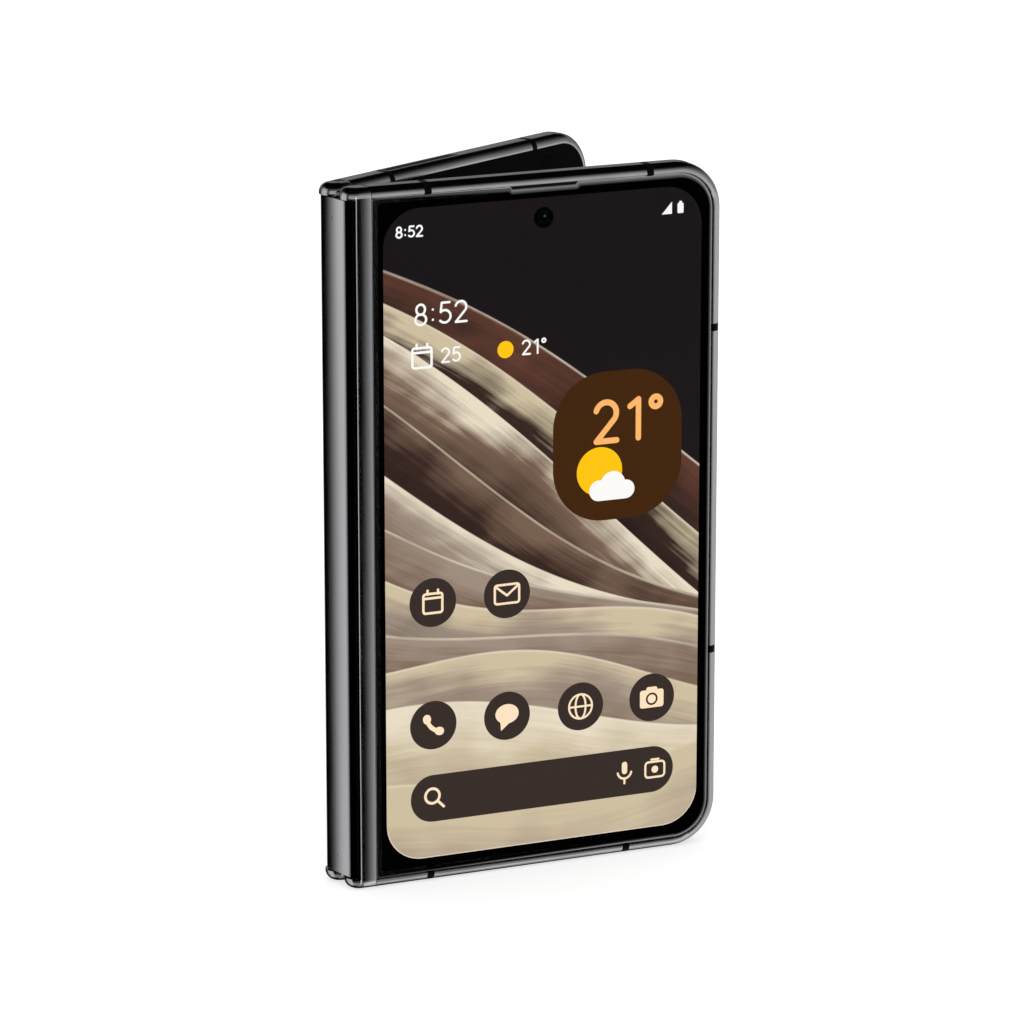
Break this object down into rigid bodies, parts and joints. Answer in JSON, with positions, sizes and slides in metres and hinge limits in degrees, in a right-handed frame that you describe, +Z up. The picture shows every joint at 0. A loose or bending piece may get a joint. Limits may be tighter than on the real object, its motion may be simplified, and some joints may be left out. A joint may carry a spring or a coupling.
{
  "type": "foldable smartphone",
  "caption": "Book-style foldable smartphone in dark polished metal, standing partly open, with a geared hinge.",
  "frame": {"origin": "on the front half's hinge axis, at the bottom land that the phone stands on", "axes": "+Z up the phone's height, +X along the front half from the hinge to its free edge, -Y out of the cover glass"},
  "size_m": [0.081, 0.0469, 0.1397],
  "materials": {
    "polished_frame": "dark polished metal",
    "polished_hinge": "polished dark steel",
    "band_plastic": "satin",
    "cover_glass": "clear, polished",
    "screen": "lit panel behind glass",
    "screen_border": "printed black mask",
    "inner_screen": "flexible panel, glossy",
    "bezel": "satin",
    "back_glass": "satin coated glass",
    "camera_window": "polished",
    "lens": "coated lens in a dark barrel",
    "steel": "fine brushed",
    "brass": "machined",
    "battery": "laminate pouch",
    "board": "solder mask",
    "speaker": "moulded",
    "flash": "clear moulded",
    "key_metal": "polished",
    "sensor": "polished"
  },
  "bodies": {
    "front_half": {"front_frame": "polished_frame", "front_hinge_rail": "polished_hinge", "front_antenna_bands": "band_plastic", "cover_glass": "cover_glass", "cover_screen": "screen", "screen_border": "screen_border", "cover_camera": "lens", "earpiece_mesh": "speaker", "earpiece_speaker": "speaker", "front_battery": "battery", "front_board": "board", "front_shield_can": "steel", "front_support_plate": "steel", "front_inner_screen": "inner_screen", "front_inner_bezel": "bezel", "front_hinge_arms": "steel", "front_gears": "brass", "front_hinge_pins": "steel", "front_screws": "steel"},
    "hinge_spine": {"spine_cover": "polished_hinge", "hinge_blocks": "steel", "spine_screws": "steel", "friction_washers": "brass", "screen_fold": "inner_screen"},
    "front_idlers": {"front_idler_gears": "brass"},
    "rear_idlers": {"rear_idler_gears": "brass"},
    "rear_half": {"rear_frame": "polished_frame", "rear_hinge_rail": "polished_hinge", "rear_antenna_bands": "band_plastic", "back_glass": "back_glass", "camera_bar": "polished_hinge", "camera_window": "camera_window", "lens_rings": "steel", "camera_modules": "lens", "flash": "flash", "rear_battery": "battery", "main_board": "board", "rear_shield_cans": "steel", "charging_coil": "brass", "port_board": "board", "usb_socket": "steel", "loudspeaker": "speaker", "vibration_motor": "steel", "button_switches": "steel", "sim_reader": "steel", "rear_support_plate": "steel", "rear_inner_screen": "inner_screen", "rear_inner_bezel": "bezel", "inner_camera": "lens", "rear_hinge_arms": "steel", "rear_gears": "brass", "rear_hinge_pins": "steel", "rear_screws": "steel"},
    "power_key": {"power_button": "key_metal", "fingerprint_pad": "sensor"},
    "volume_key": {"volume_rocker": "key_metal"},
    "sim_drawer": {"sim_tray": "key_metal"}
  },
  "joints": [
    {"name": "fold", "type": "hinge", "parent": "front_half", "child": "hinge_spine", "pos_m": [0, 0, 0.07], "axis": [0, 0, 1], "range_deg": [-14, 76]},
    {"name": "rear_fold", "type": "hinge", "parent": "hinge_spine", "child": "rear_half", "pos_m": [-0.00152, 0.00611, 0.07], "axis": [0, 0, 1], "range_deg": [-14, 76], "deforming": ["screen_fold"]},
    {"name": "front_idler_spin", "type": "hinge", "parent": "hinge_spine", "child": "front_idlers", "pos_m": [-0.00051, 0.00204, 0.07], "axis": [0, 0, 1], "range_deg": [-14, 76]},
    {"name": "rear_idler_spin", "type": "hinge", "parent": "hinge_spine", "child": "rear_idlers", "pos_m": [-0.00102, 0.00408, 0.07], "axis": [0, 0, 1], "range_deg": [-76, 14]},
    {"name": "power_press", "type": "slide", "parent": "rear_half", "child": "power_key", "axis": [-0.8829, -0.4695, 0], "range_m": [0, 0.00025], "stiffness_N_per_m": 4000, "springref_m": -0.0001},
    {"name": "volume_press", "type": "slide", "parent": "rear_half", "child": "volume_key", "axis": [-0.8829, -0.4695, 0], "range_m": [0, 0.00025], "stiffness_N_per_m": 4000, "springref_m": -0.0001},
    {"name": "sim_slide", "type": "slide", "parent": "rear_half", "child": "sim_drawer", "axis": [0.8829, 0.4695, 0], "range_m": [0, 0.022]}
  ],
  "couplings": [
    {"joint": "rear_fold", "follows": "fold", "ratio": 1},
    {"joint": "front_idler_spin", "follows": "fold", "ratio": 1},
    {"joint": "rear_idler_spin", "follows": "fold", "ratio": -1}
  ]
}
